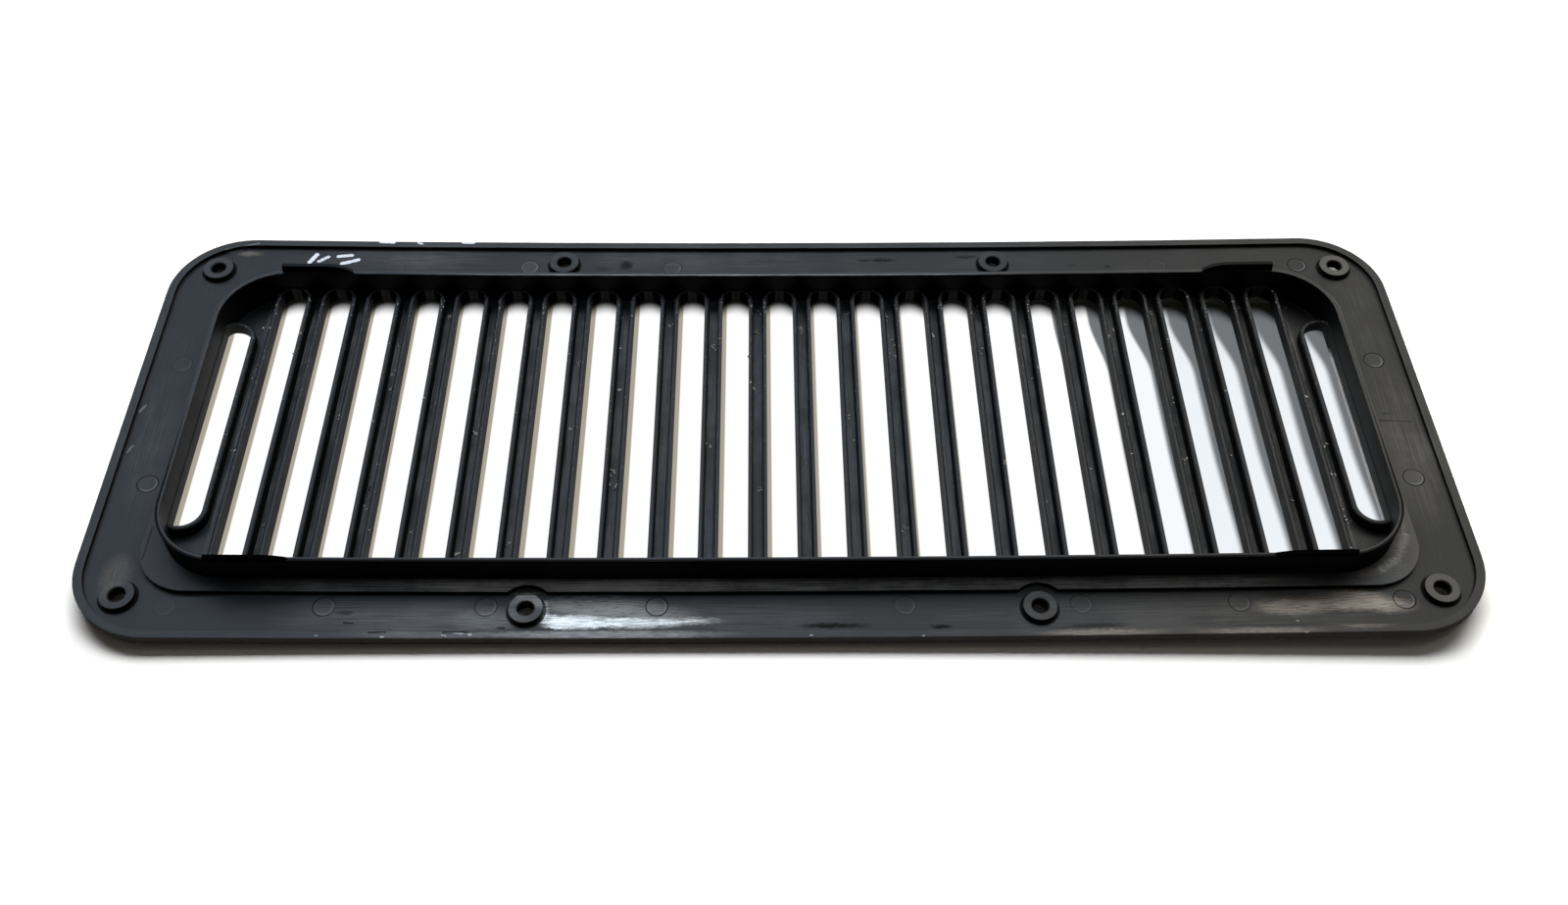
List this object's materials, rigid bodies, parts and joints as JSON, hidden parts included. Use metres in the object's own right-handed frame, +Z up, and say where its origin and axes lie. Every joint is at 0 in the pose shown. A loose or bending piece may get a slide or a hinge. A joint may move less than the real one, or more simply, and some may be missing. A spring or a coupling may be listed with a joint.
{
  "type": "cowl vent",
  "caption": "Long crowned cowl vent grille moulding seen underside up, with slots, ribs, a rectangular duct collar with tabs, and a lipped flange with screw bosses.",
  "frame": {"origin": "centre of the bounding box's underside, which is where the crowned outer face touches the table", "axes": "+X along the vent's length, +Y across it away from the picture's camera, +Z up, from the outer face towards the underside and its duct collar"},
  "size_m": [0.6204, 0.2436, 0.0261],
  "materials": {
    "moulded_plastic": "black moulded plastic with a dull satin surface, scuffed and dusty from use"
  },
  "bodies": {
    "root": {"cowl_vent": "moulded_plastic"}
  },
  "joints": []
}
